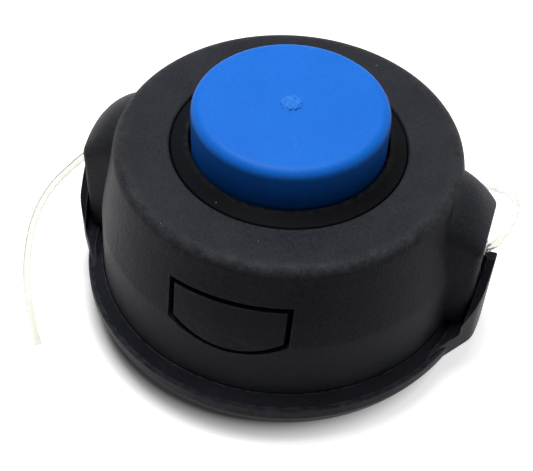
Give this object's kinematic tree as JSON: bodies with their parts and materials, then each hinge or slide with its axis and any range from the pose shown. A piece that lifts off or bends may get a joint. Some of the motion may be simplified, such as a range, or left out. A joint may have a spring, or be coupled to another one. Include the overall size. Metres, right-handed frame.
{
  "type": "bump feed trimmer head",
  "caption": "Round string trimmer head with a tray base, domed cover with line outlets and side latches, a sprung blue bump button and nylon cutting line.",
  "frame": {"origin": "middle of the foot, on the surface that the head stands on", "axes": "+Z along the shaft axis from the gearbox side to the bump button, X through the two line outlets, Y through the two latches"},
  "size_m": [0.1523, 0.1306, 0.0802],
  "materials": {
    "base_plastic": "moulded nylon, satin black",
    "cover_plastic": "moulded nylon, fine matte texture, charcoal black",
    "latch_plastic": "moulded nylon, fine matte texture, charcoal black",
    "spool_plastic": "moulded nylon, smooth black",
    "button_plastic": "moulded nylon, fine texture, bright blue",
    "line_nylon": "clear nylon monofilament",
    "winding_nylon": "clear nylon monofilament, wound",
    "steel": "zinc plated steel",
    "spring_steel": "bright spring steel",
    "bearing_steel": "ground bearing steel",
    "eyelet_metal": "turned aluminium"
  },
  "bodies": {
    "housing": {"base_housing": "base_plastic", "arbor_nut": "steel", "cover": "cover_plastic", "eyelet_left": "eyelet_metal", "eyelet_right": "eyelet_metal", "bump_spring": "spring_steel", "line_end_left": "line_nylon", "line_end_right": "line_nylon"},
    "spring_seat": {"thrust_washer": "steel"},
    "spool": {"spool": "spool_plastic", "winding_lower": "winding_nylon", "winding_upper": "winding_nylon", "bearing_inner_race": "bearing_steel", "screw_washer": "steel", "button_screw": "steel"},
    "button": {"tap_button": "button_plastic", "bearing_outer_race": "bearing_steel", "bearing_shield_lower": "steel", "bearing_shield_upper": "steel"},
    "ball_set": {"bearing_balls": "bearing_steel", "bearing_cage": "steel"},
    "latch_front": {"latch_front": "latch_plastic"},
    "latch_back": {"latch_back": "latch_plastic"}
  },
  "joints": [
    {"name": "bump_slide", "type": "slide", "parent": "housing", "child": "spring_seat", "axis": [0, 0, -1], "range_m": [0, 0.007], "stiffness_N_per_m": 2500, "springref_m": -0.006, "deforming": ["bump_spring"]},
    {"name": "spool_index", "type": "hinge", "parent": "spring_seat", "child": "spool", "pos_m": [0, 0, 0.036], "axis": [0, 0, 1], "range_deg": [0, 23]},
    {"name": "button_spin", "type": "hinge", "parent": "spool", "child": "button", "pos_m": [0, 0, 0.0672], "axis": [0, 0, 1], "continuous": true},
    {"name": "ball_orbit", "type": "hinge", "parent": "spool", "child": "ball_set", "pos_m": [0, 0, 0.0672], "axis": [0, 0, 1], "continuous": true},
    {"name": "latch_front_press", "type": "hinge", "parent": "housing", "child": "latch_front", "pos_m": [0, -0.0535, 0.0072], "axis": [-1, 0, 0], "range_deg": [0, 4], "stiffness_Nm_per_rad": 6},
    {"name": "latch_back_press", "type": "hinge", "parent": "housing", "child": "latch_back", "pos_m": [0, 0.0535, 0.0072], "axis": [1, 0, 0], "range_deg": [0, 4], "stiffness_Nm_per_rad": 6}
  ],
  "couplings": [
    {"joint": "ball_orbit", "follows": "button_spin", "ratio": 0.619}
  ]
}
